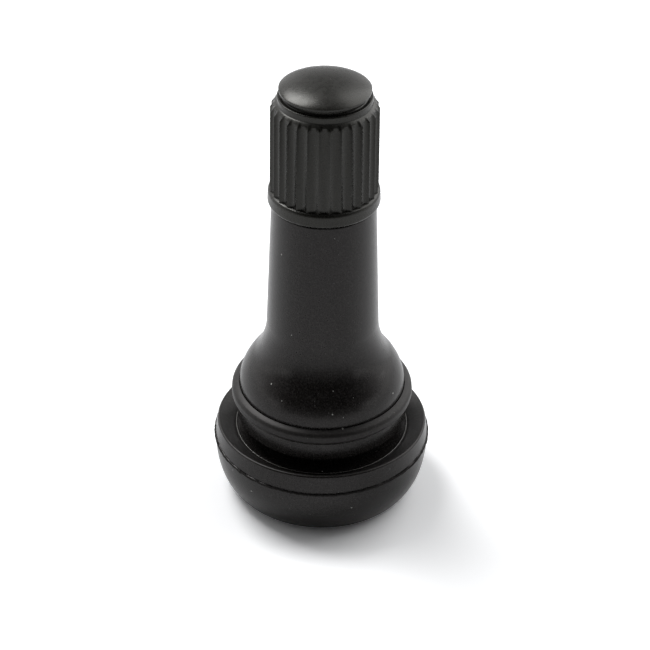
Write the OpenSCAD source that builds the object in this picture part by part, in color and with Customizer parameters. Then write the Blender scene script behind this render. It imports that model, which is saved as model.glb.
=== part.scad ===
// Snap-in tyre valve: rubber body moulded on a brass stem, fluted dust cap and a screwed-in valve core.
// Millimetres, +Z up, origin at the centre of the underside of the rubber base.

/* [Rubber base] */
// Diameter of the flat underside
base_flat_d = 16; // [13:0.1:17.5]
// Diameter of the bowl where it meets the parting line
bowl_d = 19.84; // [18.6:0.02:22]
// Height of the bowl up to the parting line
bowl_h = 5.3; // [4.5:0.05:7]
// How far the thin flash at the parting line stands out
flash_proud = 0.18; // [0.06:0.02:0.3]
// Thickness of that flash
flash_t = 0.2; // [0.1:0.05:0.4]
// Height of the side wall from the flash to the top of the lip
side_wall_h = 1.45; // [1.2:0.05:2.5]
// Radius that the side wall loses to its draft
side_wall_draft = 0.2; // [0:0.05:0.4]
// Rounding of the lip
lip_round = 0.2; // [0.1:0.05:0.6]
// Angle that this rounding turns through, from upright to the slope of the dish
lip_turn = 117; // [95:1:140]
// How far the top of the flange falls from its lip to the seam
flange_dish = 0.75; // [0.6:0.05:1.3]
// Diameter of the thin moulding seam on the flange
seam_d = 15.9; // [14.5:0.1:17]
// Width and height of that seam
seam_w = 0.14; // [0.08:0.02:0.3]
// Diameter of the air passage in the base
passage_d = 4; // [3:0.1:5]
// Chamfer at the mouth of the passage
passage_chamfer = 0.4; // [0.1:0.1:0.8]

/* [Rim groove] */
// Diameter of the neck that sits in the wheel rim's hole
neck_d = 12; // [11:0.1:13]
// Height of the straight part of the neck
neck_h = 0.8; // [0.75:0.05:2]
// Height of the seat that widens from the neck to the collar
seat_h = 0.8; // [0.6:0.05:2]
// Fillets at the foot of the groove
groove_fillet = 0.3; // [0.1:0.05:0.35]

/* [Collar and bulb] */
// Largest diameter of the collar
collar_d = 16.68; // [16:0.02:18]
// Diameter of the upright wall below its bead
collar_wall_d = 15.66; // [15:0.02:16.4]
// Height of that wall
collar_wall_h = 1.8; // [0.6:0.05:2.5]
// Height from the wall to the largest diameter
collar_bead_h = 0.62; // [0.3:0.02:1]
// Height of the bead's upright face
collar_face_h = 0.4; // [0.2:0.02:0.8]
// Height of the slope from that face to the bulb
collar_slope_h = 0.46; // [0.2:0.02:0.8]
// Diameter at the foot of the bulb
bulb_d = 15.2; // [14:0.02:16]
// Height of the round shoulder of the bulb
shoulder_h = 3.1; // [2.5:0.1:4]
// Diameter where the shoulder turns into the flare
flare_d = 12.6; // [12:0.1:13.4]
// Height of the hollow flare up to the tube
flare_h = 3.9; // [3:0.1:5]

/* [Rubber tube] */
// Diameter at the foot of the tube
tube_low_d = 10.12; // [10:0.02:11]
// Diameter at the top of the tube
tube_top_d = 9.2; // [9.1:0.02:10]
// Length of the tube
tube_h = 12.3; // [8:0.05:30]
// Rounding of the tube's top edge
tube_round = 0.15; // [0.05:0.05:0.3]

/* [Brass stem] */
// Outside diameter of the cap thread
thread_d = 7.7; // [7.5:0.05:7.8]
// Length of thread that stands out of the rubber
thread_h = 9.3; // [8:0.1:12]
// Length of the thicker end that is sunk in the rubber
thread_sunk = 1.2; // [0.6:0.1:3]
// Diameter of the stem inside the rubber
stem_d = 6.8; // [6:0.1:7]
// Height of the stem's foot above the underside of the base
stem_foot_z = 9; // [8.8:0.1:10]
// Diameter of the foot
foot_d = 8.8; // [8:0.1:9.2]
// Thickness of the foot
foot_h = 1.2; // [0.8:0.1:2]
// Number of grip grooves turned in the stem
grip_count = 4; // [2:1:6]
// Width of one grip groove
grip_w = 1; // [0.5:0.1:1.4]
// Depth of one grip groove
grip_depth = 0.3; // [0.1:0.05:0.4]
// Film of bonding agent between the rubber and the brass
bond_gap = 0.02; // [0.01:0.01:0.05]
// Diameter of the air bore below the core
air_d = 3.5; // [3.4:0.05:3.8]
// Diameter of the bore for the core's thread
core_bore_d = 5.3; // [5.2:0.02:5.4]
// Chamfer at the mouth of the stem
mouth_chamfer = 0.25; // [0.1:0.05:0.4]
// Chamfer at the start of the cap thread
thread_chamfer = 0.45; // [0.2:0.05:0.6]

/* [Dust cap] */
// Gap between the cap and the top of the rubber
cap_gap = 0.12; // [0.05:0.01:0.4]
// Diameter over the ribs
rib_d = 9.36; // [9.24:0.02:9.5]
// Diameter at the bottom of the flutes
flute_d = 8.84; // [8.7:0.02:8.9]
// Number of ribs
rib_count = 30; // [20:1:40]
// Turn of the first rib from the X axis
rib_turn = 2; // [0:1:12]
// Radius of the round top of one rib
rib_round = 0.27; // [0.2:0.01:0.32]
// Diameter of the plain band at the foot
band_d = 9.84; // [9.7:0.02:10.4]
// Radius that the band loses to its draft
band_draft = 0.06; // [0:0.02:0.16]
// Height of that band to the middle of its ledge
band_h = 1.2; // [1:0.05:2.4]
// Height of the ledge that slopes from the band to the flutes
ledge_h = 0.45; // [0.1:0.05:0.5]
// Rounding of the foot of the band
band_round = 0.25; // [0.1:0.05:0.4]
// Chamfer at the top of the ribs
rib_chamfer = 0.3; // [0.1:0.05:0.3]
// Depth of the ribs' ends below the shoulder
rib_sunk = 0.2; // [0.02:0.01:0.3]
// Diameter of the ring under the dome
ring_d = 8.16; // [7.8:0.02:8.3]
// Height of that ring
ring_h = 0.6; // [0.5:0.05:1.2]
// Diameter of the groove below the dome
dome_neck_d = 7.3; // [7:0.02:7.7]
// Height of that groove
dome_neck_h = 0.34; // [0.1:0.02:0.5]
// Diameter of the dome
dome_d = 7.9; // [7.8:0.02:8.2]
// Height of the dome's thin rim
dome_rim_h = 0.3; // [0.1:0.02:0.5]
// Height of the dome's crown above its rim
dome_h = 0.85; // [0.5:0.05:1.4]
// Play between the cap thread and the stem
cap_play = 0.1; // [0.06:0.01:0.15]
// Diameter of the recess that holds the seal
seal_recess_d = 6.8; // [6.4:0.1:7]

/* [Cap seal] */
// Thickness of the seal
seal_t = 0.8; // [0.5:0.05:1]
// Diameter of the hole in the seal
seal_hole_d = 2.4; // [2:0.1:3]
// Play of the seal in its recess
seal_play = 0.1; // [0.05:0.01:0.15]

/* [Core plug] */
// Depth of the plug's top below the mouth of the stem
plug_sunk = 1.2; // [0.8:0.1:1.6]
// Diameter over the core thread
plug_d = 5.2; // [5.1:0.02:5.24]
// Height of the plug
plug_h = 5; // [4.4:0.1:6]
// Width of the bridge left between the two flats
bridge_w = 2.9; // [2.6:0.1:3.4]
// Height of the flats
flat_h = 2.6; // [2:0.1:3]
// Diameter of the hole for the pin
plug_hole_d = 1.8; // [1.7:0.05:2]
// Diameter of the socket for the neck of the barrel
socket_d = 3; // [2.9:0.05:3.2]
// Depth of that socket
socket_h = 1.3; // [1:0.1:1.6]

/* [Core barrel] */
// Running play in the swivel and round the pin
core_play = 0.1; // [0.05:0.01:0.12]
// Height of the neck that swivels in the plug
barrel_neck_h = 1.1; // [0.8:0.1:1.2]
// Thickness of the flange that presses on the gasket
barrel_flange_h = 0.7; // [0.5:0.1:1]
// Diameter of the barrel
barrel_d = 3; // [2.9:0.05:3.1]
// Length of the barrel below the flange
barrel_h = 6.2; // [5.6:0.1:8]
// Diameter of the spring chamber
chamber_d = 2.2; // [2.16:0.02:2.3]
// Thickness of the floor that carries the spring
barrel_floor = 1.2; // [0.8:0.1:1.6]
// Thickness of the wall above the spring chamber
barrel_roof = 0.4; // [0.3:0.1:0.6]
// Diameter of the air hole round the pin
barrel_hole_d = 1.5; // [1.4:0.02:1.6]
// Diameter of the rim that the seat washer closes
barrel_rim_d = 2.2; // [2.1:0.05:2.3]
// Height of the taper to that rim
barrel_rim_h = 0.5; // [0.3:0.1:0.8]

/* [Barrel gasket] */
// Height of the gasket
gasket_h = 1.4; // [1:0.1:2]
// Diameter at its top
gasket_top_d = 4.1; // [4:0.05:4.3]
// Diameter at its foot
gasket_low_d = 3.7; // [3.6:0.02:3.8]
// Space between the gasket and the metal
gasket_gap = 0.02; // [0.01:0.01:0.04]

/* [Pin, spring and poppet] */
// Diameter of the pin
pin_d = 1; // [0.9:0.02:1.04]
// Depth of the pin's tip below the mouth of the stem
pin_sunk = 0.4; // [0.3:0.05:0.6]
// Diameter of the pin's head
pin_head_d = 1.4; // [1.2:0.05:1.5]
// Height of the pin's head
pin_head_h = 0.5; // [0.3:0.05:0.6]
// Diameter of the collar that holds the spring down
collar_stop_d = 1.96; // [1.9:0.02:2.02]
// Thickness of that collar
collar_stop_h = 0.4; // [0.3:0.05:0.5]
// Space between that collar and the roof of the chamber
collar_space = 0.6; // [0.4:0.1:0.8]
// Diameter of the spring wire
wire_d = 0.28; // [0.2:0.02:0.3]
// Diameter of the spring to the middle of its wire
spring_d = 1.62; // [1.56:0.02:1.66]
// Turns of the spring
spring_turns = 6; // [4:1:7]
// Outside diameter of the poppet cup
cup_d = 3; // [2.9:0.05:3.1]
// Thickness of its sheet
cup_wall = 0.2; // [0.15:0.01:0.25]
// Height of the cup
cup_h = 1.2; // [1:0.1:1.4]
// Height of the seat washer above the rim of the cup
washer_proud = 0.3; // [0.2:0.05:0.5]
// Height of the riveted end of the pin below the cup
rivet_h = 0.25; // [0.15:0.05:0.4]
// Space between the pin and the pieces riveted on it
rivet_gap = 0.01; // [0.005:0.005:0.03]

/* [Hidden] */
$fn = 96;
eps = 0.01;

// Heights of the rubber body, from the underside up
flash_z = bowl_h + flash_t;
lip_z = flash_z + side_wall_h;
flange_in_z = lip_z - flange_dish;
neck_top_z = flange_in_z + neck_h;
wall_low_z = neck_top_z + seat_h;
wall_top_z = wall_low_z + collar_wall_h;
collar_z = wall_top_z + collar_bead_h;
face_top_z = collar_z + collar_face_h;
bulb_z = face_top_z + collar_slope_h;
flare_z = bulb_z + shoulder_h;
tube_z = flare_z + flare_h;
rubber_top = tube_z + tube_h;

// Radii of the rubber body
base_r = base_flat_d / 2;
bowl_r = bowl_d / 2;
lip_r = bowl_r - side_wall_draft;
neck_r = neck_d / 2;
collar_r = collar_d / 2;
wall_r = collar_wall_d / 2;
bulb_r = bulb_d / 2;
flare_r = flare_d / 2;
tube_low_r = tube_low_d / 2;
tube_top_r = tube_top_d / 2;
seam_r = seam_d / 2;

// Heights of the stem and its core
stem_top = rubber_top + thread_h;
grip_pitch = (rubber_top - thread_sunk - stem_foot_z - foot_h) / (grip_count + 1);
plug_top = stem_top - plug_sunk;
plug_z = plug_top - plug_h;
barrel_flange_z = plug_z - core_play - barrel_flange_h;
barrel_z = barrel_flange_z - barrel_h;
gasket_z = barrel_flange_z - gasket_h;
chamber_z = barrel_z + barrel_floor;
chamber_top = barrel_flange_z + barrel_flange_h - barrel_roof;
pin_top = stem_top - pin_sunk;
spring_top = chamber_top - collar_space - collar_stop_h;
cup_rim_z = barrel_z - washer_proud;
cup_z = cup_rim_z - cup_h;
thread_r = thread_d / 2;
stem_r = stem_d / 2;

// Radius of the barrel's flange, just inside the top of the gasket's seat
barrel_flange_r = gasket_top_d / 2 - core_play;

// Heights of the cap
cap_z = rubber_top + cap_gap;
seal_z = stem_top;
cap_ceiling = seal_z + seal_t;
rib_low_z = cap_z + band_h;
rib_top = cap_ceiling - ring_h / 2;
ring_top = rib_top + ring_h;
dome_z = ring_top + dome_neck_h;
crown_z = dome_z + dome_rim_h + dome_h;
rib_r = rib_d / 2;
flute_r = flute_d / 2;
band_r = band_d / 2;
dome_r = dome_d / 2;
cap_bore_r = thread_r + cap_play;

// Shape of the free curves, as shares of their own width and height
bowl_foot = [0.65, 0.13];
bowl_full = 0.5;
shoulder_full = 0.4;
shoulder_turn = [0.514, 0.744];
flare_foot = [0.47, 0.2];
flare_end = 0.62;
dome_edge = [0.93, 0.32];
rib_slope = 0.6;
dome_flat = 0.5;

// Points on an arc about c, from angle a0 to a1
function arc(c, r, a0, a1, n = 8) = [for (i = [0 : n])
    let (a = a0 + (a1 - a0) * i / n) [c[0] + r * cos(a), c[1] + r * sin(a)]];

// Points on a cubic curve, without its first point
function curve(p0, p1, p2, p3, n = 14) = [for (i = [1 : n]) let (t = i / n, u = 1 - t)
    u * u * u * p0 + 3 * u * u * t * p1 + 3 * u * t * t * p2 + t * t * t * p3];

// Outline of the stem, from its foot to the start of the thread, grown by a gap
function stem_outline(gap) = concat(
    [[foot_d / 2 + gap, stem_foot_z - gap], [foot_d / 2 + gap, stem_foot_z + foot_h + gap],
     [stem_r + gap, stem_foot_z + foot_h + gap]],
    [for (i = [1 : grip_count]) let (z = stem_foot_z + foot_h + i * grip_pitch)
        each [[stem_r + gap, z - grip_w / 2 + gap], [stem_r - grip_depth + gap, z - grip_w / 2 + gap],
              [stem_r - grip_depth + gap, z + grip_w / 2 - gap], [stem_r + gap, z + grip_w / 2 - gap]]],
    [[stem_r + gap, rubber_top - thread_sunk - gap], [thread_r + gap, rubber_top - thread_sunk - gap]]);

// Rings of the spring wire, one every 22.5 degrees of its helix
spring_sides = 8;
spring_steps = 16 * spring_turns;
spring_rise = (spring_top - chamber_z - wire_d) / spring_steps;
spring_points = [for (i = [0 : spring_steps]) for (k = [0 : spring_sides - 1])
    let (a = i * 360 / 16, b = k * 360 / spring_sides,
         r = spring_d / 2 + wire_d / 2 * cos(b), z = chamber_z + wire_d / 2 + i * spring_rise)
    [r * cos(a), r * sin(a), z + wire_d / 2 * sin(b)]];
spring_faces = concat(
    [[for (k = [0 : spring_sides - 1]) k]],
    [for (i = [0 : spring_steps - 1]) for (k = [0 : spring_sides - 1])
        let (a = i * spring_sides + k, b = i * spring_sides + (k + 1) % spring_sides)
        each [[a, a + spring_sides, b], [b, a + spring_sides, b + spring_sides]]],
    [[for (k = [spring_sides - 1 : -1 : 0]) spring_steps * spring_sides + k]]);

// A ring or disc between two radii
module ring(r_in, r_out, z, h) {
    translate([0, 0, z]) difference() {
        cylinder(r = r_out, h = h);
        translate([0, 0, -eps]) cylinder(r = r_in, h = h + 2 * eps);
    }
}

// Moulded rubber: bowl, flange, rim groove, collar, bulb and tube in one turned outline
module rubber_body() {
    color([0.13, 0.13, 0.14]) rotate_extrude() polygon(concat(
        [[passage_d / 2 + passage_chamfer, 0], [base_r, 0]],
        curve([base_r, 0], [base_r + (bowl_r - base_r) * bowl_foot[0], bowl_h * bowl_foot[1]],
              [bowl_r, bowl_h * bowl_full], [bowl_r, bowl_h]),
        [[bowl_r + flash_proud, bowl_h], [bowl_r + flash_proud, flash_z], [bowl_r, flash_z]],
        arc([lip_r - lip_round, lip_z - lip_round], lip_round, 0, lip_turn),
        [[seam_r + seam_w / 2, flange_in_z], [seam_r, flange_in_z + seam_w],
         [seam_r - seam_w / 2, flange_in_z]],
        arc([neck_r + groove_fillet, flange_in_z + groove_fillet], groove_fillet, 270, 180),
        [[neck_r, neck_top_z], [wall_r, wall_low_z], [wall_r, wall_top_z], [collar_r, collar_z],
         [collar_r, face_top_z], [bulb_r, bulb_z]],
        curve([bulb_r, bulb_z], [bulb_r, bulb_z + shoulder_h * shoulder_full],
              [flare_r + (bulb_r - flare_r) * shoulder_turn[0], bulb_z + shoulder_h * shoulder_turn[1]],
              [flare_r, flare_z]),
        curve([flare_r, flare_z],
              [tube_low_r + (flare_r - tube_low_r) * flare_foot[0], flare_z + flare_h * flare_foot[1]],
              [tube_low_r, flare_z + flare_h * flare_end], [tube_low_r, tube_z]),
        arc([tube_top_r - tube_round, rubber_top - tube_round], tube_round, 0, 90, 4),
        [[thread_r + bond_gap, rubber_top]],
        [for (i = [len(stem_outline(0)) - 1 : -1 : 0]) stem_outline(bond_gap)[i]],
        [[passage_d / 2, stem_foot_z - bond_gap], [passage_d / 2, passage_chamfer]]));
}

// Turned brass stem with its foot, grip grooves, core bore and tapered seat
module brass_stem() {
    seat_top = gasket_z + gasket_h;
    color([0.80, 0.66, 0.36]) rotate_extrude() polygon(concat(
        stem_outline(0),
        [[thread_r, stem_top - thread_chamfer], [thread_r - thread_chamfer, stem_top],
         [core_bore_d / 2 + mouth_chamfer, stem_top], [core_bore_d / 2, stem_top - mouth_chamfer],
         [core_bore_d / 2, seat_top + (core_bore_d - gasket_top_d) / 2],
         [gasket_top_d / 2 + gasket_gap, seat_top], [gasket_low_d / 2 + gasket_gap, gasket_z],
         [air_d / 2, gasket_z - (gasket_low_d + 2 * gasket_gap - air_d) / 2], [air_d / 2, stem_foot_z]]));
}

// Dust cap: fluted skirt on a plain band, stepped ring and shallow dome
module valve_cap() {
    color([0.16, 0.16, 0.15]) difference() {
        union() {
            rotate_extrude() polygon(cap_outline());
            for (i = [0 : rib_count - 1])
                rotate(rib_turn + i * 360 / rib_count) translate([rib_r - rib_round, 0, 0]) cap_rib();
        }
        translate([0, 0, cap_z - eps]) cylinder(r = cap_bore_r, h = seal_z - cap_z + eps);
        translate([0, 0, cap_z - eps]) cylinder(r = seal_recess_d / 2, h = cap_ceiling - cap_z + eps);
    }
}

// One rib: a slim round bar with a chamfered top, sunk to about half in the skirt
module cap_rib() {
    rib_end = rib_top - rib_sunk;
    rotate_extrude($fn = 24) polygon([[0, rib_low_z - ledge_h], [rib_round, rib_low_z - ledge_h],
        [rib_round, rib_end - rib_chamfer], [rib_round - rib_chamfer * rib_slope, rib_end], [0, rib_end]]);
}

// Outline of the cap without its ribs
function cap_outline() = concat(
    [[0, cap_z], [band_r - band_round, cap_z]],
    arc([band_r - band_round, cap_z + band_round], band_round, -90, 0, 5),
    [[band_r - band_draft, rib_low_z - ledge_h / 2], [flute_r, rib_low_z + ledge_h / 2],
     [flute_r, rib_top - rib_chamfer], [flute_r - rib_chamfer, rib_top], [ring_d / 2, rib_top],
     [ring_d / 2, ring_top], [dome_neck_d / 2, ring_top], [dome_neck_d / 2, dome_z], [dome_r, dome_z],
     [dome_r, dome_z + dome_rim_h]],
    curve([dome_r, dome_z + dome_rim_h],
          [dome_r * dome_edge[0], dome_z + dome_rim_h + dome_h * dome_edge[1]],
          [dome_r * dome_flat, crown_z], [0, crown_z]));

// Flat rubber seal that lies in the recess of the cap
module cap_seal() {
    color([0.10, 0.10, 0.10])
        ring(seal_hole_d / 2, seal_recess_d / 2 - seal_play, seal_z, seal_t);
}

// Threaded plug of the core, with two flats for the core key
module core_plug() {
    color([0.82, 0.70, 0.42]) difference() {
        translate([0, 0, plug_z]) cylinder(r = plug_d / 2, h = plug_h);
        for (side = [-1, 1])
            translate([side * (bridge_w + plug_d) / 2, 0, plug_top - flat_h / 2 + eps])
                cube([plug_d, 2 * plug_d, flat_h + 2 * eps], center = true);
        translate([0, 0, plug_z - eps]) cylinder(r = plug_hole_d / 2, h = plug_h + 2 * eps);
        translate([0, 0, plug_z - eps]) cylinder(r = socket_d / 2, h = socket_h + eps);
    }
}

// Barrel that swivels in the plug, holds the spring and ends in the seat rim
module core_barrel() {
    neck_r_out = socket_d / 2 - core_play;
    flange_top_z = barrel_flange_z + barrel_flange_h;
    color([0.82, 0.70, 0.42]) rotate_extrude() polygon([
        [barrel_hole_d / 2, barrel_z], [barrel_rim_d / 2, barrel_z], [barrel_d / 2, barrel_z + barrel_rim_h],
        [barrel_d / 2, barrel_flange_z], [barrel_flange_r, barrel_flange_z],
        [barrel_flange_r, flange_top_z], [neck_r_out, flange_top_z],
        [neck_r_out, flange_top_z + core_play + barrel_neck_h],
        [barrel_hole_d / 2, flange_top_z + core_play + barrel_neck_h], [barrel_hole_d / 2, chamber_top],
        [chamber_d / 2, chamber_top], [chamber_d / 2, chamber_z], [barrel_hole_d / 2, chamber_z]]);
}

// Tapered gasket that seals the barrel in the stem's seat
module barrel_gasket() {
    color([0.75, 0.12, 0.10]) rotate_extrude() polygon([
        [barrel_d / 2 + gasket_gap, gasket_z], [gasket_low_d / 2, gasket_z],
        [gasket_top_d / 2, barrel_flange_z], [barrel_d / 2 + gasket_gap, barrel_flange_z]]);
}

// Pin with its rounded head, spring collar and riveted end
module core_pin() {
    head_edge = pin_head_h / 2;
    color([0.72, 0.73, 0.74]) rotate_extrude() polygon([
        [0, cup_z - rivet_h], [pin_d / 2 + rivet_h / 2, cup_z - rivet_h], [pin_d / 2 + rivet_h, cup_z],
        [pin_d / 2, cup_z], [pin_d / 2, spring_top], [collar_stop_d / 2, spring_top],
        [collar_stop_d / 2, spring_top + collar_stop_h], [pin_d / 2, spring_top + collar_stop_h],
        [pin_d / 2, pin_top - pin_head_h], [pin_head_d / 2, pin_top - pin_head_h],
        [pin_head_d / 2, pin_top - head_edge], [pin_head_d / 2 - head_edge, pin_top], [0, pin_top]]);
}

// Coil spring that keeps the valve shut
module core_spring() {
    color([0.66, 0.67, 0.70]) polyhedron(points = spring_points, faces = spring_faces);
}

// Pressed cup that carries the seat washer
module poppet_cup() {
    color([0.82, 0.70, 0.42]) rotate_extrude() polygon([
        [pin_d / 2 + rivet_gap, cup_z], [cup_d / 2, cup_z], [cup_d / 2, cup_rim_z],
        [cup_d / 2 - cup_wall, cup_rim_z], [cup_d / 2 - cup_wall, cup_z + cup_wall],
        [pin_d / 2 + rivet_gap, cup_z + cup_wall]]);
}

// Rubber washer that closes the barrel's rim
module seat_washer() {
    color([0.12, 0.12, 0.12])
        ring(pin_d / 2 + rivet_gap, cup_d / 2 - cup_wall - gasket_gap, cup_z + cup_wall,
             barrel_z - cup_z - cup_wall);
}

rubber_body();
brass_stem();
valve_cap();
cap_seal();
core_plug();
core_barrel();
barrel_gasket();
core_pin();
core_spring();
poppet_cup();
seat_washer();
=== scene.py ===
import math

import bmesh
import bpy
from mathutils import Euler, Matrix, Vector


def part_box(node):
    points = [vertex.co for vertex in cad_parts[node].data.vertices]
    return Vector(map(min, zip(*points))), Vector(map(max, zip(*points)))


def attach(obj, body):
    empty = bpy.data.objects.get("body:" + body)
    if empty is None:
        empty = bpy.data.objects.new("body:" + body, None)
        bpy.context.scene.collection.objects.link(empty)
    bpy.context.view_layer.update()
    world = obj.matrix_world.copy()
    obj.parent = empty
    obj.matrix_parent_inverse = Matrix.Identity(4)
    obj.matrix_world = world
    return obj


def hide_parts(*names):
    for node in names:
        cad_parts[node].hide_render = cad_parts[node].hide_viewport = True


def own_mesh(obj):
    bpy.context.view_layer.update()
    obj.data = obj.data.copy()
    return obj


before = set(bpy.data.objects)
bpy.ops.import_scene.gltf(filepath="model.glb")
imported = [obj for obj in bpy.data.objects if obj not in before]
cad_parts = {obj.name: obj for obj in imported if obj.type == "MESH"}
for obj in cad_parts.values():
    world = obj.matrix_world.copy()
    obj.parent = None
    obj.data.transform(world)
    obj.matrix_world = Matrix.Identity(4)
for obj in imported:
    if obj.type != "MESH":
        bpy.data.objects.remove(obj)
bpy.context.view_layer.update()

MM = 0.001

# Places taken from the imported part, in millimetres
rubber_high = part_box("rubber_body")[1]
cap_low, cap_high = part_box("valve_cap")
stem_low, stem_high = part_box("brass_stem")
seal_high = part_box("cap_seal")[1]
FLASH_R = rubber_high[0] / MM
RUBBER_TOP = rubber_high[2] / MM
CAP_Z = cap_low[2] / MM
CROWN_Z = cap_high[2] / MM
BAND_R = cap_high[0] / MM
STEM_FOOT_Z = stem_low[2] / MM
STEM_TOP = stem_high[2] / MM
FOOT_R = stem_high[0] / MM
CEILING_Z = seal_high[2] / MM

# Rubber body, in millimetres. A pull says what share of its reach a curve's handle lies along,
# and a lead says how far from the curve's end it lies.
BASE_R = 8.0
BASE_EDGE = 0.4
FLASH_PROUD = 0.18
BOWL_R = FLASH_R - FLASH_PROUD
BOWL_H = 5.3
BOWL_PULL = (0.65, 0.13)
BOWL_SIDE_PULL = 0.5
FLASH_Z = 5.5
FLASH_ROOT = 0.05
FLASH_STEP = 0.02
FLASH_BLUNT = 0.05
FLASH_HALF = 0.07
FLASH_NICK = ((-0.05, 0), (-0.06, 0.06), (-0.02, 0.12))
FLASH_TEAR = 0.05
FLASH_TEAR_EVEN = 0.6
FLASH_TEAR_SEED = 11
FLASH_SMOOTH = 0.4
LIP_Z = 6.95
LIP_INSET = 0.2
LIP_R = BOWL_R - LIP_INSET
LIP_ROUND = 0.2
LIP_TURN_DEG = 117
LIP_SAG_DEG = 2.3
FLANGE_IN_Z = 6.2
SEAM_R = 7.95
SEAM_W = 0.14
SEAM_FOOT_W = 0.03
SEAM_FOOT_RISE = 0.02
NECK_R = 6.0
NECK_TOP_Z = 7.0
GROOVE_ROUND = 0.3
WALL_R = 7.83
WALL_LOW_Z = 7.8
WALL_FOOT = ((-0.12, -0.04), (0, 0.08))
WALL_TOP_Z = 9.6
COLLAR_R = 8.34
COLLAR_Z = 10.22
BEAD_ROOT = 0.06
BEAD_FOOT_LEAD = (0.25, 0.12)
BEAD_SIDE_LEAD = 0.25
FACE_TOP_Z = 10.62
BEAD_TOP = ((-0.02, -0.1), (-0.03, 0.08), (-0.14, 0.2), (-0.28, 0.3))
BULB_Z = 11.08
BULB_R = 7.6
BEAD_CREASE = ((0.2, -0.06), (0.06, -0.01), (-0.02, -0.05), (-0.01, 0.04))
BULB_FOOT = 0.1
BULB_PULL = 0.4
SHOULDER_PULL = (0.514, 0.744)
FLARE_Z = 14.18
FLARE_R = 6.3
FLARE_FOOT_PULL = (0.47, 0.2)
FLARE_END_PULL = 0.62
TUBE_Z = 18.08
TUBE_LOW_R = 5.06
TUBE_TOP_R = 4.6
TUBE_ROUND = 0.15
PASSAGE_R = 2.0
PASSAGE_CHAMFER = 0.4
BOND_GAP = 0.02
FOOT_GAP = 0.05
RUBBER_STEPS = 320
RUBBER_SMOOTH_DEG = 42

# Brass stem and its cap thread, in millimetres
THREAD_R = 3.85
THREAD_DEPTH = 0.42
THREAD_PITCH = 0.79375
THREAD_SUNK = 1.2
THREAD_HALF_SHARE = 0.46
THREAD_START = 0.45
THREAD_ENDS = 0.9
THREAD_BEDDED = 0.05
CREST_ROUND = 0.03
CREST_HALF = 0.06
THREAD_STEPS = 72
ROOT_R = THREAD_R - THREAD_DEPTH
STEM_R = 3.4
STEM_STEPS = 144
STEM_SMOOTH_DEG = 35
FOOT_H = 1.2
GRIP_COUNT = 4
GRIP_W = 1.0
GRIP_DEPTH = 0.3
RUNOUT_LOW = 0.1
RUNOUT_TOP = 0.4
MOUTH_CHAMFER_W = 0.25
MOUTH_CHAMFER_H = 0.3
CORE_BORE_R = 2.65
CORE_CHAMFER = 0.25
AIR_R = 1.75
SEAT_Z = 31.28
SEAT_H = 1.4
SEAT_TOP_R = 2.07
SEAT_LOW_R = 1.87
SEAT_LEAD = 0.6
SEAT_EDGE = 0.12

# Dust cap, in millimetres
RIBS = 30
RIB_TURN_DEG = 0.4
STEPS_PER_RIB = 12
RIB_R = 4.72
FLUTE_R = 4.45
RIB_DRAFT = 0.985
RIB_END_Z = 39.6
RIB_TOP_RISE = 0.34
BAND_H = 1.36
BAND_TOP_Z = CAP_Z + BAND_H
BAND_TOP_ROUND = 0.4
BAND_TOP_START_DEG = 50
BAND_DRAFT = 0.03
BAND_FOOT_ROUND = 0.25
LEDGE_FALL = 0.3
SHOULDER_Z = 40.18
RING_R = 4.08
RING_FOOT = ((0.1, -0.04), (0.02, 0), (0, 0.06))
RING_TOP = 40.78
RING_ROUND = 0.1
DOME_NECK_R = 3.65
DOME_NECK_FILLET = 0.05
DOME_Z = 41.12
DOME_R = 3.95
DOME_RIM_H = 0.3
DOME_RIM_ROUND = 0.2
DOME_RIM_PULL = (0.93, 0.32)
DOME_CROWN_PULL = 0.5
CAP_BORE_R = 3.95
CAP_MOUTH_CHAMFER = 0.2
RECESS_R = 3.4
AXIS_GAP = 0.02
CAP_SMOOTH_DEG = 38

# Meshes, in millimetres
HOLD_MARGIN = 0.05
LEAST_HELD = 6 * HOLD_MARGIN
WELD = 0.001
RING_SLACK = 0.01

# Noise: cells per millimetre, detail, roughness
RUBBER_MOTTLE = (1.4, 6, 0.7)
RUBBER_DUST_FILM = (5.5, 5, 0.75)
RUBBER_GRAIN = (9, 4)
RUBBER_WAVES = (3.0, 4)
CAP_CLOUD = (1.8, 5, 0.65)
CAP_GRAIN = (7, 4)
METAL_CLOUD = (0.9, 5, 0.6)
TURNING_LINES = (14, 3)
SOFT_CLOUD = (2.2, 4)
SOFT_GRAIN = (10, 3)
LINES_SQUEEZE = (0.05, 0.05, 1)

# Stretch of a noise over which a finish changes
RUBBER_CHANGE = (0.35, 0.7)
FILM_CHANGE = (0.48, 0.72)
CAP_CHANGE = (0.4, 0.75)
METAL_CHANGE = (0.35, 0.75)
SOFT_CHANGE = (0.35, 0.7)
ROUGH_CHANGE = (0.3, 0.7)

# Specks: cells per millimetre, largest radius in cells, share of cells that hold one
RUBBER_DUST = (1.1, 0.10, 0.16)
RUBBER_FINE_DUST = (3.2, 0.15, 0.16)
CAP_WEAR = (2.4, 0.12, 0.06)
SMALLEST_SPECK = 0.4

# Bumps: strength, depth in millimetres
RUBBER_GRAIN_BUMP = (0.35, 0.012)
RUBBER_WAVES_BUMP = (0.15, 0.03)
CAP_BUMP = (0.12, 0.015)
METAL_BUMP = (0.2, 0.01)
SOFT_BUMP = (0.2, 0.02)

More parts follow.
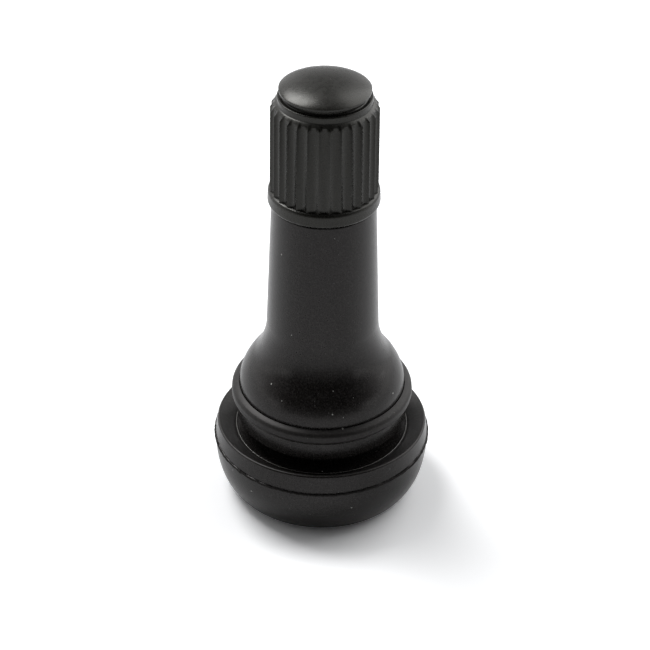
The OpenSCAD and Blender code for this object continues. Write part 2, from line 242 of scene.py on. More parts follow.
# Colours
RUBBER_DARK = (0.0045, 0.0039, 0.0036)
RUBBER_LIGHT = (0.0090, 0.0080, 0.0075)
FILM_COLOR = (0.027, 0.0255, 0.0245)
FINE_DUST_COLOR = (0.07, 0.07, 0.067)
DUST_COLOR = (0.28, 0.28, 0.266)
# The pale seam colour below is a painted highlight: it stands in for the glint that the flange's seam
# ridge catches from the lamps.
SEAM_GLINT_COLOR = (0.10, 0.098, 0.093)
CAP_DARK = (0.0084, 0.0081, 0.0070)
CAP_LIGHT = (0.0151, 0.0147, 0.0129)
WEAR_COLOR = (0.084, 0.084, 0.080)
STEM_BRASS = ((0.72, 0.50, 0.20), (0.52, 0.36, 0.15))
CORE_BRASS = ((0.76, 0.56, 0.26), (0.60, 0.44, 0.20))
PIN_STEEL = ((0.60, 0.61, 0.63), (0.45, 0.46, 0.48))
SEAL_BLACK = ((0.012, 0.012, 0.012), (0.03, 0.03, 0.03))
GASKET_RED = ((0.42, 0.035, 0.03), (0.52, 0.06, 0.05))

# Gloss
RUBBER_ROUGH = (0.28, 0.18)
FLASH_ROUGH = 0.9
BEAD_ROUGH = 0.45
FLANGE_ROUGH = 0.42
RUBBER_SPECULAR = 0.28
RUBBER_TINT = (1.0, 0.97, 0.96, 1)
CAP_ROUGH = (0.24, 0.32)
CAP_SPECULAR = 0.34
CAP_TINT = (1.0, 0.99, 0.94, 1)
STEM_ROUGH = 0.24
CORE_ROUGH = 0.22
SEAL_ROUGH = 0.55
GASKET_ROUGH = 0.45
ROUGH_SPREAD = 0.15

# Where the rubber's finish changes, and where the seam's painted highlight lies, in millimetres: middle or
# start, and reach
SEAM_GLINT_LINE = (SEAM_R, 0.3 * SEAM_W)
SEAM_GLINT_HEIGHTS = (FLANGE_IN_Z, 2 * SEAM_W)
FLASH_START = BOWL_R + 0.01
BEAD_START = BULB_R + 0.03
BEAD_HEIGHTS = (COLLAR_Z + 0.2, 0.75)
FLANGE_HEIGHTS = (LIP_Z - 0.2, 0.75)
FLANGE_BAND = ((SEAM_R + LIP_R) / 2, (LIP_R - SEAM_R) / 2 - 0.08)

# Light tent, by direction from the valve: levels, and where one passes into the next
SIDE_LEVEL = 0.93
BACK_LEVEL = 0.42
BACK_WIDTH = (0.12, 0.28)
FOOT_SHARE = 1.5
FOOT_RISE = (0.15, 0.45)
ROOF_SHARE = 0.5
ROOF_RISE = (0.75, 0.95)
FRONT_SHARE = 0.15
FRONT_REACH = (-0.35, 0.15)
GLOW_RISE = (0.08, 0.25)
OPENING_WIDTH = (1.3, 1.55)
OPENING_RISE = (1.7, 2.4)
ROOM_LEVEL = 0.32
ROOM_TOP_SHARE = 0.06
ROOM_RISE = (0, 0.3)
LEAST_AHEAD = 0.001

# Softboxes and floor: places and sides in metres, power in watts
LEFT_PLACE = (-0.199, 0.192, 0.401)
LEFT_SIDE = 0.23
LEFT_POWER = 1.71
RIGHT_PLACE = (0.291, 0.219, 0.316)
RIGHT_SIDE = 0.42
RIGHT_POWER = 1.10
LIGHT_AIM = (0, 0, 0.02)
FLOOR_SIDE = 6
FLOOR_DROP_MM = 0.02
FLOOR_COLOR = (0.86, 0.865, 0.875)
FLOOR_GAIN = 1.4
FLOOR_ROUGH = 0.9
FLOOR_SPECULAR = 0.1

# Camera
IMAGE_PX = 650
FOCAL_PX = 2000
SENSOR_MM = 36
CAMERA_PLACE_MM = (0.22, -148.34, 121.3)
CAMERA_PITCH_DEG = 35.07
CAMERA_ROLL_DEG = 0.7
CAMERA_CLIP = 0.01


# Outlines
def between(start, end, share):
    """The value that lies a share of the way from start to end."""
    return start + (end - start) * share


def steps_from(radius, z, steps):
    """Points given by their steps from one place."""
    return [(radius + out, z + up) for out, up in steps]


def arc(centre, radius, start, end, count):
    """Points of an outline's round stretch, by angle in degrees."""
    angles = [math.radians(between(start, end, i / count)) for i in range(count + 1)]
    return [(centre[0] + radius * math.cos(a), centre[1] + radius * math.sin(a)) for a in angles]


def curve(p0, p1, p2, p3, count):
    """Points of an outline's free curve, without its first point."""
    points = []
    for i in range(1, count + 1):
        t = i / count
        u = 1 - t
        shares = (u * u * u, 3 * u * u * t, 3 * u * t * t, t * t * t)
        points.append(tuple(sum(s * p[k] for s, p in zip(shares, (p0, p1, p2, p3))) for k in (0, 1)))
    return points


def held(points):
    """The outline with two more points near the ends of each long straight, so that it shades flat."""
    result = [points[0]]
    for (r0, z0), (r1, z1) in zip(points, points[1:]):
        length = math.hypot(r1 - r0, z1 - z0)
        if length > LEAST_HELD:
            t = HOLD_MARGIN / length
            result.append((between(r0, r1, t), between(z0, z1, t)))
            result.append((between(r1, r0, t), between(z1, z0, t)))
        result.append((r1, z1))
    return result


# Modelling
def deselect():
    bpy.ops.object.select_all(action="DESELECT")


def draw_outline(name, points):
    """A new object in edit mode: one vertex, extruded along an outline in millimetres and closed."""
    deselect()
    bpy.ops.mesh.primitive_plane_add(size=MM)
    piece = bpy.context.object
    piece.name = name
    piece.data.name = name
    bpy.ops.object.mode_set(mode="EDIT")
    bpy.ops.mesh.select_all(action="SELECT")
    bpy.ops.mesh.merge(type="CENTER")
    bpy.ops.transform.translate(value=(points[0][0] * MM, 0, points[0][1] * MM))
    for (r0, z0), (r1, z1) in zip(points, points[1:]):
        step = ((r1 - r0) * MM, 0, (z1 - z0) * MM)
        bpy.ops.mesh.extrude_vertices_move(TRANSFORM_OT_translate={"value": step})
    bpy.ops.mesh.select_all(action="SELECT")
    bpy.ops.mesh.edge_face_add()
    bpy.ops.mesh.delete(type="ONLY_FACE")
    return piece


def turn_outline(name, points, steps):
    """A turned piece: the closed outline spun once round the axis, left in edit mode."""
    piece = draw_outline(name, points)
    bpy.ops.mesh.select_all(action="SELECT")
    bpy.ops.mesh.spin(steps=steps, angle=2 * math.pi, center=(0, 0, 0), axis=(0, 0, 1))
    clean_mesh()
    return piece


def clean_mesh():
    """Merges doubles and turns all faces outwards."""
    bpy.ops.mesh.select_all(action="SELECT")
    bpy.ops.mesh.remove_doubles(threshold=WELD * MM)
    bpy.ops.mesh.normals_make_consistent(inside=False)


def select_verts(piece, test):
    """Selects the vertices of the piece in edit mode whose place, in millimetres, passes the test."""
    bpy.ops.mesh.select_mode(type="VERT")
    bpy.ops.mesh.select_all(action="DESELECT")
    mesh = bmesh.from_edit_mesh(piece.data)
    for v in mesh.verts:
        v.select = test(v.co.x / MM, v.co.y / MM, v.co.z / MM)
    mesh.select_flush_mode()
    bmesh.update_edit_mesh(piece.data)


def leave_edit(piece, smooth_deg):
    """Back to object mode, with smooth shading across angles below the given one."""
    bpy.ops.object.mode_set(mode="OBJECT")
    deselect()
    piece.select_set(True)
    bpy.context.view_layer.objects.active = piece
    bpy.ops.object.shade_smooth_by_angle(angle=math.radians(smooth_deg))


def give(piece, body, node, material):
    """Rides the piece on its body in place of its node, with its material."""
    piece.data.materials.clear()
    piece.data.materials.append(material)
    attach(piece, body)
    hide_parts(node)


# Shader nodes
class Shading:
    """The nodes of one material or world, with a short call for each kind that this scene uses."""

    def __init__(self, tree):
        self.nodes = tree.nodes
        self.links = tree.links

    def feed(self, socket, value):
        """Links another node's output to the socket, or sets the socket to a number or a colour."""
        if isinstance(value, (int, float)):
            socket.default_value = value
        elif isinstance(value, tuple):
            socket.default_value = (*value, 1)
        else:
            self.links.new(value, socket)

    def object_place(self):
        return self.nodes.new("ShaderNodeTexCoord").outputs["Object"]

    def axes(self, vector):
        """The three parts of a vector."""
        split = self.nodes.new("ShaderNodeSeparateXYZ")
        self.links.new(vector, split.inputs["Vector"])
        return split.outputs["X"], split.outputs["Y"], split.outputs["Z"]

    def camera_sees(self):
        """1 for rays straight from the camera, 0 for all others."""
        return self.nodes.new("ShaderNodeLightPath").outputs["Is Camera Ray"]

    def math(self, operation, *values):
        node = self.nodes.new("ShaderNodeMath")
        node.operation = operation
        for socket, value in zip(node.inputs, values):
            self.feed(socket, value)
        return node.outputs["Value"]

    def product(self, first, second):
        return self.math("MULTIPLY", first, second)

    def highest(self, first, second):
        return self.math("MAXIMUM", first, second)

    def within(self, value, middle_mm, reach_mm):
        """1 where the value lies within reach of the middle, 0 elsewhere."""
        return self.math("COMPARE", value, middle_mm * MM, reach_mm * MM)

    def beyond(self, value, start_mm):
        """1 where the value is past the start, 0 elsewhere."""
        return self.math("GREATER_THAN", value, start_mm * MM)

    def axis_distance(self, place):
        """Distance from the valve's axis, in metres."""
        level = self.nodes.new("ShaderNodeVectorMath")
        level.operation = "MULTIPLY"
        level.inputs[1].default_value = (1, 1, 0)
        self.links.new(place, level.inputs[0])
        radius = self.nodes.new("ShaderNodeVectorMath")
        radius.operation = "LENGTH"
        self.links.new(level.outputs["Vector"], radius.inputs[0])
        return radius.outputs["Value"]

    def noise(self, place, per_mm, detail, roughness=0.55):
        node = self.nodes.new("ShaderNodeTexNoise")
        node.inputs["Scale"].default_value = per_mm / MM
        node.inputs["Detail"].default_value = detail
        node.inputs["Roughness"].default_value = roughness
        self.links.new(place, node.inputs["Vector"])
        return node.outputs["Fac"]

    def spread(self, value, stretch, start, end):
        """Carries a stretch of the value over to the range from start to end."""
        node = self.nodes.new("ShaderNodeMapRange")
        node.inputs["From Min"].default_value = stretch[0]
        node.inputs["From Max"].default_value = stretch[1]
        node.inputs["To Min"].default_value = start
        node.inputs["To Max"].default_value = end
        self.links.new(value, node.inputs["Value"])
        return node.outputs["Result"]

    def ramp(self, value, stretch, first, second):
        """Passes from the first colour to the second over a stretch of the value."""
        node = self.nodes.new("ShaderNodeValToRGB")
        for element, position, color in zip(node.color_ramp.elements, stretch, (first, second)):
            element.position = position
            element.color = (*color, 1)
        self.links.new(value, node.inputs["Fac"])
        return node.outputs["Color"]

    def mix(self, share, first, second):
        """The first colour where the share is 0, the second where it is 1."""
        node = self.nodes.new("ShaderNodeMix")
        node.data_type = "RGBA"
        self.links.new(share, node.inputs["Factor"])
        colors = [socket for socket in node.inputs if socket.type == "RGBA"]
        for socket, value in zip(colors, (first, second)):
            self.feed(socket, value)
        return [socket for socket in node.outputs if socket.type == "RGBA"][0]

    def specks(self, place, per_mm, size, share):
        """Scattered round specks: 1 on a speck, 0 elsewhere. Only a share of the cells holds one."""
        cells = self.nodes.new("ShaderNodeTexVoronoi")
        cells.inputs["Scale"].default_value = per_mm / MM
        self.links.new(place, cells.inputs["Vector"])
        pick = self.nodes.new("ShaderNodeSeparateColor")
        self.links.new(cells.outputs["Color"], pick.inputs["Color"])
        chosen = self.math("LESS_THAN", pick.outputs["Red"], share)
        radius = self.spread(pick.outputs["Green"], (0, 1), size * SMALLEST_SPECK, size)
        inside = self.math("LESS_THAN", cells.outputs["Distance"], radius)
        return self.product(chosen, inside)

    def bump(self, height, strength, depth_mm, below=None):
        node = self.nodes.new("ShaderNodeBump")
        node.inputs["Strength"].default_value = strength
        node.inputs["Distance"].default_value = depth_mm * MM
        self.links.new(height, node.inputs["Height"])
        if below:
            self.links.new(below, node.inputs["Normal"])
        return node.outputs["Normal"]


# Materials
def new_material(name):
    """A material, its shading and the inputs of its surface."""
    material = bpy.data.materials.new(name)
    material.use_nodes = True
    tree = material.node_tree
    return material, Shading(tree), tree.nodes["Principled BSDF"].inputs


def rubber_material():
    """Satin black rubber with mottle, grain and pale dust, and a painted highlight along the seam ridge;
    its flash, bead and flange are duller.
    """
    material, shade, surface = new_material("black_rubber")
    place = shade.object_place()
    radius = shade.axis_distance(place)
    height = shade.axes(place)[2]
    mottle = shade.noise(place, *RUBBER_MOTTLE)
    film = shade.spread(shade.noise(place, *RUBBER_DUST_FILM), FILM_CHANGE, 0, 1)
    # The seam band is painted pale as a painted highlight, in place of the glint along the seam ridge.
    seam = shade.product(shade.within(radius, *SEAM_GLINT_LINE), shade.within(height, *SEAM_GLINT_HEIGHTS))
    color = shade.ramp(mottle, RUBBER_CHANGE, RUBBER_DARK, RUBBER_LIGHT)
    color = shade.mix(film, color, FILM_COLOR)
    color = shade.mix(shade.specks(place, *RUBBER_FINE_DUST), color, FINE_DUST_COLOR)
    color = shade.mix(shade.specks(place, *RUBBER_DUST), color, DUST_COLOR)
    shade.feed(surface["Base Color"], shade.mix(seam, color, SEAM_GLINT_COLOR))
    flash = shade.beyond(radius, FLASH_START)
    bead = shade.product(shade.within(height, *BEAD_HEIGHTS), shade.beyond(radius, BEAD_START))
    flange = shade.product(shade.within(height, *FLANGE_HEIGHTS), shade.within(radius, *FLANGE_BAND))
    rough = shade.spread(mottle, ROUGH_CHANGE, *RUBBER_ROUGH)
    for spot, level in ((flash, FLASH_ROUGH), (bead, BEAD_ROUGH), (flange, FLANGE_ROUGH)):
        rough = shade.highest(rough, shade.product(spot, level))
    shade.feed(surface["Roughness"], rough)
    surface["Specular IOR Level"].default_value = RUBBER_SPECULAR
    surface["Specular Tint"].default_value = RUBBER_TINT
    grain = shade.bump(shade.noise(place, *RUBBER_GRAIN), *RUBBER_GRAIN_BUMP)
    waves = shade.bump(shade.noise(place, *RUBBER_WAVES), *RUBBER_WAVES_BUMP, grain)
    shade.feed(surface["Normal"], waves)
    return material


def cap_material():
    """Moulded black plastic with slight wear."""
    material, shade, surface = new_material("cap_plastic")
    place = shade.object_place()
    cloud = shade.noise(place, *CAP_CLOUD)
    color = shade.ramp(cloud, CAP_CHANGE, CAP_DARK, CAP_LIGHT)
    shade.feed(surface["Base Color"], shade.mix(shade.specks(place, *CAP_WEAR), color, WEAR_COLOR))
    shade.feed(surface["Roughness"], shade.spread(cloud, ROUGH_CHANGE, *CAP_ROUGH))
    surface["Specular IOR Level"].default_value = CAP_SPECULAR
    surface["Specular Tint"].default_value = CAP_TINT
    shade.feed(surface["Normal"], shade.bump(shade.noise(place, *CAP_GRAIN), *CAP_BUMP))
    return material


def metal_material(name, colors, rough):
    """Turned metal: fine lines round the axis and a little tarnish."""
    material, shade, surface = new_material(name)
    place = shade.object_place()
    surface["Metallic"].default_value = 1.0
    cloud = shade.noise(place, *METAL_CLOUD)
    shade.feed(surface["Base Color"], shade.ramp(cloud, METAL_CHANGE, *colors))
    shade.feed(surface["Roughness"], shade.spread(cloud, ROUGH_CHANGE, rough, rough + ROUGH_SPREAD))
    squeeze = shade.nodes.new("ShaderNodeMapping")
    squeeze.inputs["Scale"].default_value = LINES_SQUEEZE
    shade.links.new(place, squeeze.inputs["Vector"])
    lines = shade.noise(squeeze.outputs["Vector"], *TURNING_LINES)
    shade.feed(surface["Normal"], shade.bump(lines, *METAL_BUMP))
    return material


def soft_material(name, colors, rough):
    """Small seals and gaskets: matt, slightly cloudy."""
    material, shade, surface = new_material(name)
    place = shade.object_place()
    cloud = shade.noise(place, *SOFT_CLOUD)
    shade.feed(surface["Base Color"], shade.ramp(cloud, SOFT_CHANGE, *colors))
    shade.feed(surface["Roughness"], shade.spread(cloud, ROUGH_CHANGE, rough, rough + ROUGH_SPREAD))
    shade.feed(surface["Normal"], shade.bump(shade.noise(place, *SOFT_GRAIN), *SOFT_BUMP))
    return material


# Rubber body
def bead_outline():
    """The collar's bead, from its upright wall to the crease under the bulb, with a rounded top."""
    foot_lead = (WALL_R + BEAD_FOOT_LEAD[0], WALL_TOP_Z + BEAD_FOOT_LEAD[1])
    side_lead = (COLLAR_R, COLLAR_Z - BEAD_SIDE_LEAD)
    points = [(WALL_R, WALL_TOP_Z - BEAD_ROOT)]
    points += curve((WALL_R, WALL_TOP_Z), foot_lead, side_lead, (COLLAR_R, COLLAR_Z), count=8)
    points += curve(*steps_from(COLLAR_R, FACE_TOP_Z, BEAD_TOP), count=7)
    points += steps_from(BULB_R, BULB_Z, BEAD_CREASE)
    return points


def bowl_outline():
    """The base and the bowl up to the flange's seam, with the parting flash round it and the lip."""
    foot_pull = (between(BASE_R, BOWL_R, BOWL_PULL[0]), BOWL_H * BOWL_PULL[1])
    side_pull = (BOWL_R, BOWL_H * BOWL_SIDE_PULL)
    flash_mid = (BOWL_H + FLASH_Z) / 2
    flash_tip = FLASH_R - FLASH_BLUNT
    points = [(PASSAGE_R + PASSAGE_CHAMFER, 0), (BASE_R - BASE_EDGE, 0), (BASE_R, 0)]
    points += curve((BASE_R, 0), foot_pull, side_pull, (BOWL_R, BOWL_H - FLASH_ROOT), count=24)
    points += [(BOWL_R + FLASH_STEP, BOWL_H)]
    points += [(flash_tip, flash_mid - FLASH_HALF), (flash_tip, flash_mid + FLASH_HALF)]
    points += steps_from(BOWL_R, FLASH_Z, FLASH_NICK)
    points += arc((LIP_R - LIP_ROUND, LIP_Z - LIP_ROUND), LIP_ROUND, 0, LIP_TURN_DEG, count=9)
    points += [(SEAM_R + SEAM_W / 2 + SEAM_FOOT_W, FLANGE_IN_Z + SEAM_FOOT_RISE)]
    points += arc((SEAM_R, FLANGE_IN_Z + SEAM_W / 2), SEAM_W / 2, 0, 180, count=8)
    points += [(SEAM_R - SEAM_W / 2 - SEAM_FOOT_W, FLANGE_IN_Z)]
    return points


def tube_outline():
    """The bulb, the flare and the tube up to its rounded mouth."""
    bulb_pull = (BULB_R, between(BULB_Z, FLARE_Z, BULB_PULL))
    shoulder_r = between(FLARE_R, BULB_R, SHOULDER_PULL[0])
    shoulder_pull = (shoulder_r, between(BULB_Z, FLARE_Z, SHOULDER_PULL[1]))
    flare_foot_r = between(TUBE_LOW_R, FLARE_R, FLARE_FOOT_PULL[0])
    flare_foot = (flare_foot_r, between(FLARE_Z, TUBE_Z, FLARE_FOOT_PULL[1]))
    flare_end = (TUBE_LOW_R, between(FLARE_Z, TUBE_Z, FLARE_END_PULL))
    points = curve((BULB_R, BULB_Z + BULB_FOOT), bulb_pull, shoulder_pull, (FLARE_R, FLARE_Z), count=24)
    points += curve((FLARE_R, FLARE_Z), flare_foot, flare_end, (TUBE_LOW_R, TUBE_Z), count=14)
    points += arc((TUBE_TOP_R - TUBE_ROUND, RUBBER_TOP - TUBE_ROUND), TUBE_ROUND, 0, 90, count=4)
    return points


def bond_outline():
    """The inside that is bonded to the stem, from the mouth down to the air passage."""
    thread_r = THREAD_R + BOND_GAP
    stem_r = STEM_R + BOND_GAP
    foot_r = FOOT_R + BOND_GAP
    thread_z = RUBBER_TOP - THREAD_SUNK
    foot_top = STEM_FOOT_Z + FOOT_H + FOOT_GAP
    foot_low = STEM_FOOT_Z - BOND_GAP
    points = [(thread_r, RUBBER_TOP), (thread_r, thread_z), (stem_r, thread_z), (stem_r, foot_top)]
    points += [(foot_r, foot_top), (foot_r, foot_low), (PASSAGE_R, foot_low), (PASSAGE_R, PASSAGE_CHAMFER)]
    return points


def rubber_outline():
    points = bowl_outline()
    points += arc((NECK_R + GROOVE_ROUND, FLANGE_IN_Z + GROOVE_ROUND), GROOVE_ROUND, 270, 180, count=5)
    points += [(NECK_R, NECK_TOP_Z)]
    points += steps_from(WALL_R, WALL_LOW_Z, WALL_FOOT)
    return points + bead_outline() + tube_outline() + bond_outline()


def on_flash(x, y, z):
    return math.hypot(x, y) > BOWL_R + FLASH_PROUD / 2


def on_lip(x, y, z):
    return math.hypot(x, y) > LIP_R - 2 * LIP_ROUND and LIP_Z - 2 * LIP_ROUND < z < COLLAR_Z


def rubber_piece():
    piece = turn_outline("rubber_valve_body", held(rubber_outline()), RUBBER_STEPS)
    select_verts(piece, on_flash)
    bpy.ops.transform.vertex_random(
        offset=FLASH_TEAR * MM, uniform=FLASH_TEAR_EVEN, normal=0, seed=FLASH_TEAR_SEED)
    bpy.ops.mesh.vertices_smooth(factor=FLASH_SMOOTH, repeat=1)
    select_verts(piece, on_lip)
    bpy.ops.transform.rotate(
        value=math.radians(LIP_SAG_DEG), orient_axis="X", center_override=(0, 0, LIP_Z * MM))
    leave_edit(piece, RUBBER_SMOOTH_DEG)
    give(piece, "valve_body", "rubber_body", rubber_material())


# Dust cap
def rib_radius(step):
    """Radius of the fluted skirt at one step of a rib's pitch, the middle step being the rib's crest."""
    share = 1 - abs(2 * step / STEPS_PER_RIB - 1)
    return between(FLUTE_R, RIB_R, share * share)


def rib_step(x, y):
    """The step of a rib's pitch at which a place of the skirt lies."""
    pitch = 360 / RIBS
    angle = math.degrees(math.atan2(y, x)) - RIB_TURN_DEG + pitch / 2
    return round(angle % pitch / pitch * STEPS_PER_RIB) % STEPS_PER_RIB


def scale_ring(scale):
    """Scales the selection about the axis."""
    bpy.ops.transform.resize(value=(scale, scale, 1), center_override=(0, 0, 0))


def raise_ring(z_step):
    """Extrudes the selected ring by a step in height, in millimetres."""
    bpy.ops.mesh.extrude_region_move(TRANSFORM_OT_translate={"value": (0, 0, z_step * MM)})


def extrude_along(points):
    """Extrudes the selected round ring along an outline that starts at the ring itself."""
    for (r0, z0), (r1, z1) in zip(points, points[1:]):
        raise_ring(z1 - z0)
        scale_ring(r1 / r0)


def flatten(z):
    """Brings the selected ring to one height."""
    bpy.ops.transform.resize(value=(1, 1, 0), center_override=(0, 0, z * MM))


def round_off(piece, radius, z):
    """Makes the selected fluted ring round, at a radius and height in millimetres."""
    flatten(z)
    mesh = bmesh.from_edit_mesh(piece.data)
    ring = [v for v in mesh.verts if v.select]
    mean = sum(math.hypot(v.co.x, v.co.y) for v in ring) / len(ring)
    bpy.ops.transform.tosphere(value=1, center_override=(0, 0, z * MM))
    scale_ring(radius * MM / mean)


def close_end(piece, points):
    """Rounds off a new ring at the skirt's selected end and extrudes it along an outline to the axis."""
    raise_ring(0)
    round_off(piece, *points[0])
    extrude_along(held(points))
    bpy.ops.mesh.merge(type="CENTER")


def top_outline():
    """The cap's top, from the ends of the flutes over ring and dome to the crown."""
    rim_top = DOME_Z + DOME_RIM_H
    rim_pull = (DOME_R * DOME_RIM_PULL[0], between(rim_top, CROWN_Z, DOME_RIM_PULL[1]))
    crown_pull = (DOME_R * DOME_CROWN_PULL, CROWN_Z)
    points = [(FLUTE_R * RIB_DRAFT, RIB_END_Z + RIB_TOP_RISE)]
    points += steps_from(RING_R, SHOULDER_Z, RING_FOOT)
    points += arc((RING_R - RING_ROUND, RING_TOP - RING_ROUND), RING_ROUND, 0, 90, count=5)
    points += [(DOME_NECK_R + DOME_NECK_FILLET, RING_TOP), (DOME_NECK_R, RING_TOP + DOME_NECK_FILLET)]
    points += [(DOME_NECK_R, DOME_Z)]
    points += arc((DOME_R - DOME_RIM_ROUND, DOME_Z + DOME_RIM_ROUND), DOME_RIM_ROUND, -90, 0, count=7)
    points += [(DOME_R, rim_top)]
    points += curve((DOME_R, rim_top), rim_pull, crown_pull, (AXIS_GAP, CROWN_Z), count=28)
    return points


def foot_outline():
    """The cap's foot, from the ledge under the flutes round the band and up the bore to its ceiling."""
    band_top = (BAND_R - BAND_DRAFT - BAND_TOP_ROUND, BAND_TOP_Z - BAND_TOP_ROUND)
    band_foot = (BAND_R - BAND_FOOT_ROUND, CAP_Z + BAND_FOOT_ROUND)
    points = arc(band_top, BAND_TOP_ROUND, BAND_TOP_START_DEG, 0, count=7)
    points += arc(band_foot, BAND_FOOT_ROUND, 0, -90, count=6)
    points += [(CAP_BORE_R + CAP_MOUTH_CHAMFER, CAP_Z), (CAP_BORE_R, CAP_Z + CAP_MOUTH_CHAMFER)]
    points += [(CAP_BORE_R, STEM_TOP), (RECESS_R, STEM_TOP), (RECESS_R, CEILING_Z), (AXIS_GAP, CEILING_Z)]
    return points


def cap_piece():
    deselect()
    bpy.ops.mesh.primitive_circle_add(vertices=RIBS * STEPS_PER_RIB, radius=FLUTE_R * MM)
    piece = bpy.context.object
    piece.name = "fluted_dust_cap"
    piece.data.name = "fluted_dust_cap"
    bpy.ops.object.mode_set(mode="EDIT")
    bpy.ops.mesh.select_all(action="SELECT")
    bpy.ops.transform.translate(value=(0, 0, BAND_TOP_Z * MM))
    for step in range(1, STEPS_PER_RIB):
        grow = rib_radius(step) - FLUTE_R
        select_verts(piece, lambda x, y, z: rib_step(x, y) == step)
        scale_ring(1 + grow / FLUTE_R)
        bpy.ops.transform.translate(value=(0, 0, -grow * LEDGE_FALL * MM))
    bpy.ops.mesh.select_all(action="SELECT")
    raise_ring(RIB_END_Z - BAND_TOP_Z)
    scale_ring(RIB_DRAFT)
    flatten(RIB_END_Z)
    close_end(piece, top_outline())
    select_verts(piece, lambda x, y, z: z < BAND_TOP_Z + RING_SLACK)
    close_end(piece, foot_outline())
    clean_mesh()
    leave_edit(piece, CAP_SMOOTH_DEG)
    give(piece, "cap", "valve_cap", cap_material())


# Brass stem
def stem_outline():
    neck_low = STEM_FOOT_Z + FOOT_H
    neck_top = RUBBER_TOP - THREAD_SUNK
    seat_top = SEAT_Z + SEAT_H
    points = [(AIR_R, STEM_FOOT_Z), (FOOT_R, STEM_FOOT_Z), (FOOT_R, neck_low), (STEM_R, neck_low)]
    for i in range(1, GRIP_COUNT + 1):
        middle = between(neck_low, neck_top, i / (GRIP_COUNT + 1))
        points += [(STEM_R, middle - GRIP_W / 2), (STEM_R - GRIP_DEPTH, middle - GRIP_W / 2)]
        points += [(STEM_R - GRIP_DEPTH, middle + GRIP_W / 2), (STEM_R, middle + GRIP_W / 2)]
    points += [(STEM_R, neck_top), (THREAD_R, neck_top)]
    points += [(THREAD_R, RUBBER_TOP + RUNOUT_LOW), (ROOT_R, RUBBER_TOP + RUNOUT_TOP)]
    points += [(ROOT_R, STEM_TOP - MOUTH_CHAMFER_H), (ROOT_R - MOUTH_CHAMFER_W, STEM_TOP)]
    points += [(CORE_BORE_R + CORE_CHAMFER, STEM_TOP), (CORE_BORE_R, STEM_TOP - CORE_CHAMFER)]
    points += [(CORE_BORE_R, seat_top + SEAT_LEAD), (SEAT_TOP_R, seat_top)]
    points += [(SEAT_LOW_R, SEAT_Z), (AIR_R, SEAT_Z - SEAT_EDGE)]
    return points


def thread_section():
    """One ridge of the cap thread, cut across."""
    half = THREAD_PITCH * THREAD_HALF_SHARE
    middle = RUBBER_TOP + THREAD_START
    root_r = ROOT_R - THREAD_BEDDED
    crest_r = THREAD_R - CREST_ROUND
    return [(root_r, middle - half), (crest_r, middle - CREST_HALF), (THREAD_R, middle),
            (crest_r, middle + CREST_HALF), (root_r, middle + half)]


def thread_piece():
    """The ridge of the cap thread: a closed section wound up the stem."""
    ridge = draw_outline("stem_thread", thread_section())
    bpy.ops.object.mode_set(mode="OBJECT")
    wind = ridge.modifiers.new("wind", "SCREW")
    wind.axis = "Z"
    wind.steps = THREAD_STEPS
    wind.render_steps = THREAD_STEPS
    wind.screw_offset = THREAD_PITCH * MM
    wind.iterations = math.floor((STEM_TOP - RUBBER_TOP - THREAD_ENDS) / THREAD_PITCH)
    wind.use_merge_vertices = False
    bpy.ops.object.modifier_apply(modifier="wind")
    bpy.ops.object.mode_set(mode="EDIT")
    bpy.ops.mesh.select_all(action="DESELECT")
    bpy.ops.mesh.select_mode(type="EDGE")
    bpy.ops.mesh.select_non_manifold()
    bpy.ops.mesh.edge_face_add()
    clean_mesh()
    bpy.ops.object.mode_set(mode="OBJECT")
    return ridge


def stem_piece():
    piece = turn_outline("turned_brass_stem", stem_outline(), STEM_STEPS)
    bpy.ops.object.mode_set(mode="OBJECT")
    ridge = thread_piece()
    deselect()
    ridge.select_set(True)
    piece.select_set(True)
    bpy.context.view_layer.objects.active = piece
    bpy.ops.object.join()
    leave_edit(piece, STEM_SMOOTH_DEG)
    brass = metal_material("turned_brass", STEM_BRASS, STEM_ROUGH)
    give(piece, "valve_body", "brass_stem", brass)


# Valve core and seal
def dress_core():
    """Gives the seal and the core's nodes their finishes."""
    core_brass = metal_material("core_brass", CORE_BRASS, CORE_ROUGH)
    steel = metal_material("pin_steel", PIN_STEEL, CORE_ROUGH)
    seal = soft_material("seal_rubber", SEAL_BLACK, SEAL_ROUGH)
    gasket = soft_material("gasket_polymer", GASKET_RED, GASKET_ROUGH)
    finishes = {"cap_seal": seal, "seat_washer": seal, "barrel_gasket": gasket,
                "core_pin": steel, "core_spring": steel,
                "core_plug": core_brass, "core_barrel": core_brass, "poppet_cup": core_brass}
    for node, material in finishes.items():
        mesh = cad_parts[node].data
        mesh.materials.clear()
        mesh.materials.append(material)


def squeeze_spring():
    """Gives the core spring a mesh of its own."""
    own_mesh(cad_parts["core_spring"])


# Stage, light and camera
def floor_piece():
    """A pale floor that the camera sees brighter than the valve does, so that it fades to white."""
    deselect()
    bpy.ops.mesh.primitive_plane_add(size=FLOOR_SIDE, location=(0, 0, -FLOOR_DROP_MM * MM))
    floor = bpy.context.object
    floor.name = "studio_floor"
    material, shade, surface = new_material("studio_floor")
    bright = tuple(FLOOR_GAIN * c for c in FLOOR_COLOR)
    shade.feed(surface["Base Color"], shade.mix(shade.camera_sees(), FLOOR_COLOR, bright))
    surface["Roughness"].default_value = FLOOR_ROUGH
    surface["Specular IOR Level"].default_value = FLOOR_SPECULAR
    floor.data.materials.append(material)


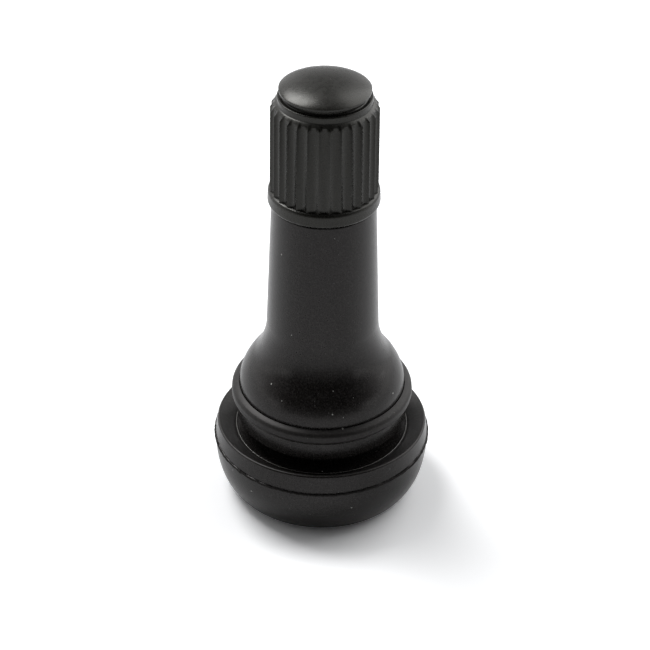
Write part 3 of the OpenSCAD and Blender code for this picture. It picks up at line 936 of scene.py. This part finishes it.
def world_light():
    """A white tent with a dark room before its opening; the camera itself sees plain white."""
    world = bpy.data.worlds.new("light_tent")
    bpy.context.scene.world = world
    world.use_nodes = True
    shade = Shading(world.node_tree)
    x, y, z = shade.axes(shade.nodes.new("ShaderNodeTexCoord").outputs["Generated"])
    sideways = shade.math("ABSOLUTE", x)
    ahead = shade.highest(shade.product(y, -1), LEAST_AHEAD)
    across = shade.math("DIVIDE", sideways, ahead)
    above = shade.math("DIVIDE", z, ahead)
    width = shade.spread(across, OPENING_WIDTH, 1, 0)
    opening = shade.product(width, shade.spread(above, OPENING_RISE, 1, 0))
    room = shade.spread(z, ROOM_RISE, ROOM_LEVEL, ROOM_LEVEL * ROOM_TOP_SHARE)
    cloth = shade.spread(sideways, BACK_WIDTH, BACK_LEVEL, SIDE_LEVEL)
    foot = shade.spread(z, FOOT_RISE, FOOT_SHARE, 1)
    roof = shade.product(foot, shade.spread(z, ROOF_RISE, 1, ROOF_SHARE))
    behind = shade.spread(y, FRONT_REACH, FRONT_SHARE, 1)
    glow = shade.spread(z, GLOW_RISE, 1, 0)
    wall = shade.product(cloth, shade.product(roof, shade.highest(behind, glow)))
    closed = shade.math("SUBTRACT", 1, opening)
    tent = shade.math("ADD", shade.product(wall, closed), shade.product(room, opening))
    background = shade.nodes["Background"].inputs
    shade.feed(background["Strength"], shade.highest(tent, shade.camera_sees()))
    background["Color"].default_value = (1, 1, 1, 1)


def softbox(name, place, side, power):
    light = bpy.data.lights.new(name, "AREA")
    light.shape = "SQUARE"
    light.size = side
    light.energy = power
    lamp = bpy.data.objects.new(name, light)
    bpy.context.collection.objects.link(lamp)
    lamp.location = place
    aim = Vector(LIGHT_AIM) - Vector(place)
    lamp.rotation_euler = aim.to_track_quat("-Z", "Y").to_euler()


def camera():
    lens = bpy.data.cameras.new("photo_view")
    lens.sensor_width = SENSOR_MM
    lens.lens = SENSOR_MM * FOCAL_PX / IMAGE_PX
    lens.clip_start = CAMERA_CLIP
    view = bpy.data.objects.new("photo_view", lens)
    bpy.context.collection.objects.link(view)
    view.location = [c * MM for c in CAMERA_PLACE_MM]
    level = Euler((math.pi / 2 - math.radians(CAMERA_PITCH_DEG), 0, 0)).to_matrix()
    turn = level @ Matrix.Rotation(math.radians(CAMERA_ROLL_DEG), 3, "Z")
    view.rotation_euler = turn.to_euler()
    bpy.context.scene.camera = view


rubber_piece()
cap_piece()
stem_piece()
dress_core()
squeeze_spring()

floor_piece()
world_light()
softbox("left_softbox", LEFT_PLACE, LEFT_SIDE, LEFT_POWER)
softbox("right_softbox", RIGHT_PLACE, RIGHT_SIDE, RIGHT_POWER)
camera()
bpy.context.scene.view_settings.view_transform = "Standard"
